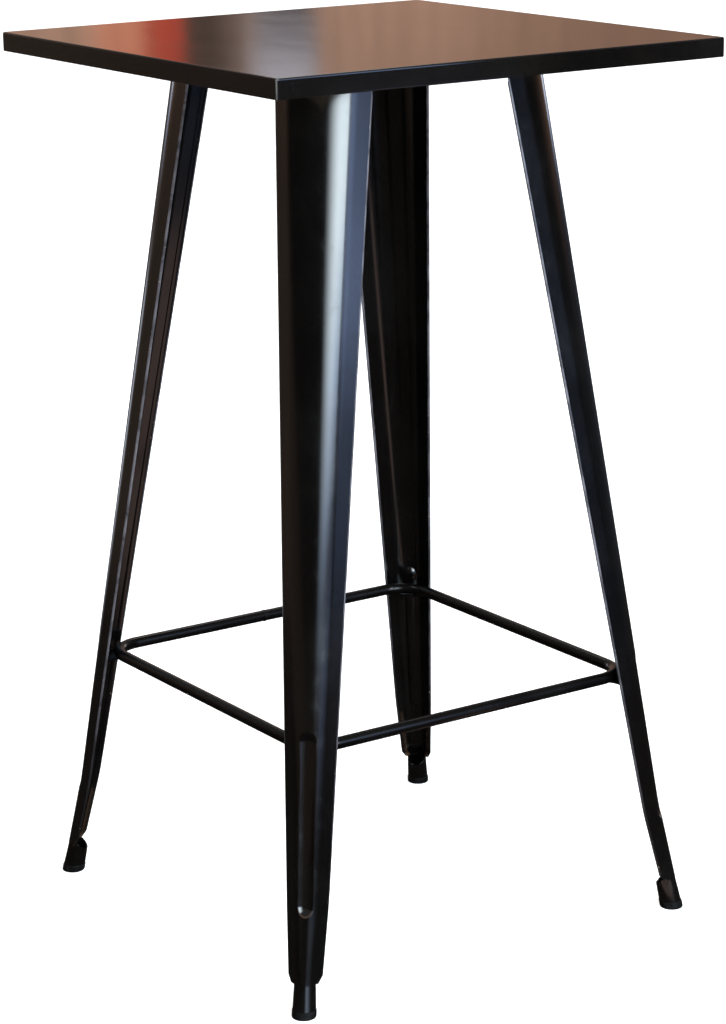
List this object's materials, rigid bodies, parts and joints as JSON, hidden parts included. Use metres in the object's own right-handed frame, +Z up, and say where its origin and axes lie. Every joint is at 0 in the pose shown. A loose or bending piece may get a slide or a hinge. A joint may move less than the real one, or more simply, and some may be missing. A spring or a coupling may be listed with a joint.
{
  "type": "pub table",
  "caption": "Square bar-height table with a folded sheet-steel top, splayed pressed channel legs and a bent round-bar footrest.",
  "frame": {"origin": "on the floor, under the centre of the top", "axes": "+Z up; the front edge of the top faces -Y, the sides of the top lie along X and Y"},
  "size_m": [0.6, 0.6, 1.055],
  "materials": {
    "painted_sheet": "semi-gloss black powder coat",
    "painted_bar": "semi-gloss black powder coat",
    "board": "raw particle board",
    "glide_rubber": "matt moulded rubber",
    "plated_fastener": "bright zinc plate"
  },
  "bodies": {
    "root": {"tabletop_pan": "painted_sheet", "core_board": "board", "apron_rail_front": "painted_sheet", "apron_rail_right": "painted_sheet", "apron_rail_back": "painted_sheet", "apron_rail_left": "painted_sheet", "corner_gusset_back_right": "painted_sheet", "corner_gusset_back_left": "painted_sheet", "corner_gusset_front_left": "painted_sheet", "corner_gusset_front_right": "painted_sheet", "leg_back_right": "painted_sheet", "leg_back_left": "painted_sheet", "leg_front_left": "painted_sheet", "leg_front_right": "painted_sheet", "foot_glide_back_right": "glide_rubber", "foot_glide_back_left": "glide_rubber", "foot_glide_front_left": "glide_rubber", "foot_glide_front_right": "glide_rubber", "footrest_ring": "painted_bar", "footrest_shelf_back_right": "painted_sheet", "footrest_shelf_back_left": "painted_sheet", "footrest_shelf_front_left": "painted_sheet", "footrest_shelf_front_right": "painted_sheet", "board_screws": "plated_fastener"}
  },
  "joints": []
}
